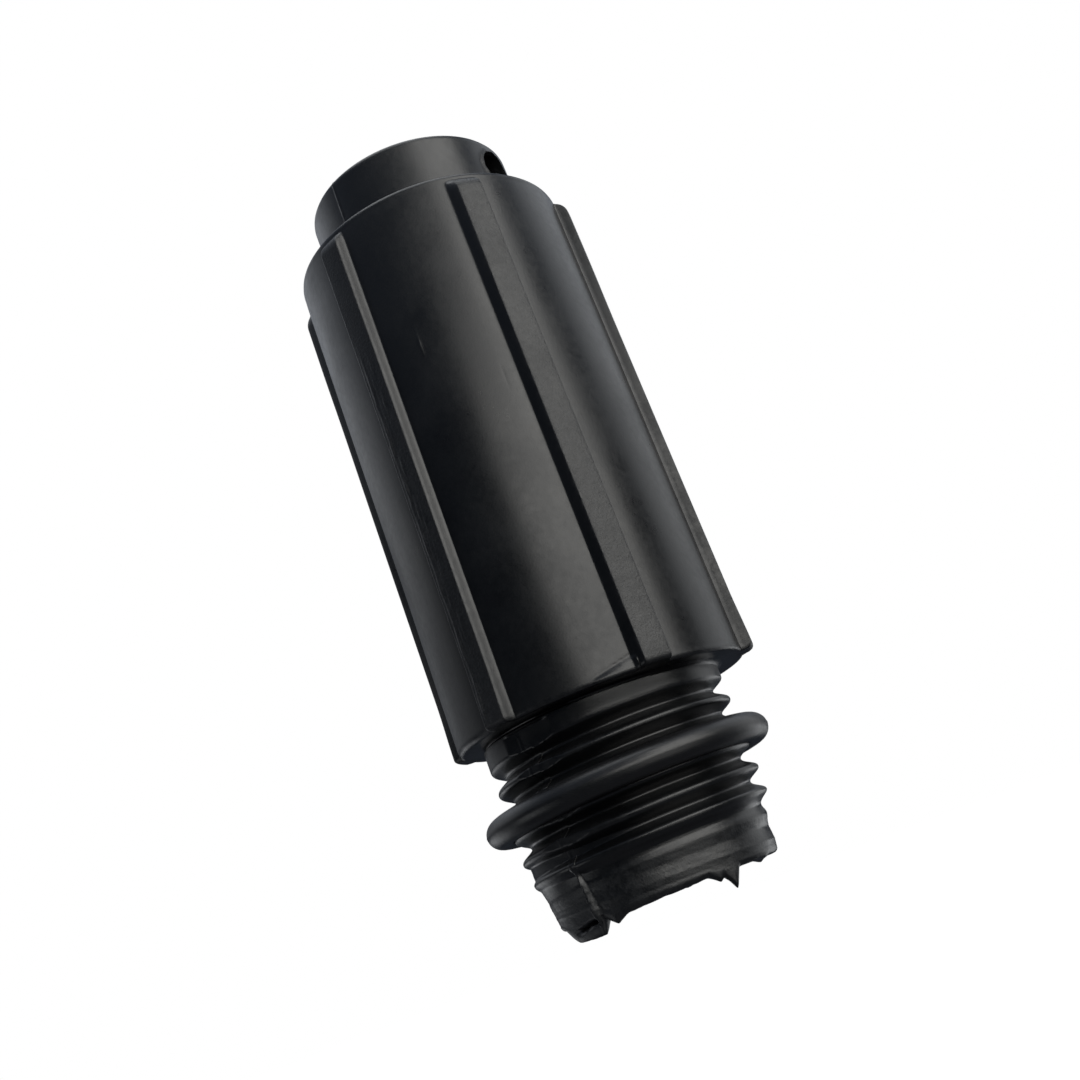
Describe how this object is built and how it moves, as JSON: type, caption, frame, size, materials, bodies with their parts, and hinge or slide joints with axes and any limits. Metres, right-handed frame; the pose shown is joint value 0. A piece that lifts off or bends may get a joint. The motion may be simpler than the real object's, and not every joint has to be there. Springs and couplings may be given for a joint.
{
  "type": "breather muffler",
  "caption": "Screw-in pneumatic breather muffler: ribbed barrel, side-vented cap, O-ringed male thread, and a sprung check valve and felt silencer inside.",
  "frame": {"origin": "on the axis, in the plane of the seat ring under the barrel", "axes": "+Z along the axis from the port towards the vent cap; XZ is the mould's parting plane, through two opposite ribs"},
  "size_m": [0.0206, 0.0192, 0.0523],
  "materials": {
    "black_nylon": "moulded black nylon, satin between the ribs and fine-textured on them",
    "black_rubber": "satin nitrile rubber",
    "stainless_mesh": "woven stainless wire",
    "black_acetal": "satin",
    "knitted_wire": "knitted wire",
    "gasket_fibre": "pressed fibre",
    "brass": "turned",
    "brown_rubber": "matt",
    "white_acetal": "satin",
    "spring_steel": "drawn wire",
    "plated_steel": "zinc plated",
    "grey_felt": "needled felt",
    "grey_foam": "open-cell foam"
  },
  "bodies": {
    "body": {"housing": "black_nylon", "vent_cap": "black_nylon", "inlet_screen": "stainless_mesh", "screen_ring": "black_acetal", "demister_pad": "knitted_wire", "seat_gasket": "gasket_fibre", "valve_seat": "brass", "valve_spring": "spring_steel", "valve_cage": "white_acetal", "lower_end_plate": "plated_steel", "diffuser_tube": "plated_steel", "tube_screen": "stainless_mesh", "felt_sleeve": "grey_felt", "upper_end_plate": "plated_steel", "upper_screen": "stainless_mesh", "wave_spring": "spring_steel", "foam_pad": "grey_foam"},
    "valve": {"valve_poppet": "white_acetal", "poppet_seal": "brown_rubber"},
    "o_ring": {"port_o_ring": "black_rubber"}
  },
  "joints": [
    {"name": "valve_lift", "type": "slide", "parent": "body", "child": "valve", "axis": [0, 0, 1], "range_m": [0, 0.0015], "stiffness_N_per_m": 40, "springref_m": -0.002, "deforming": ["valve_spring"]},
    {"name": "o_ring_seating", "type": "slide", "parent": "body", "child": "o_ring", "axis": [0, 0, 1], "range_m": [0, 0.00358]}
  ]
}
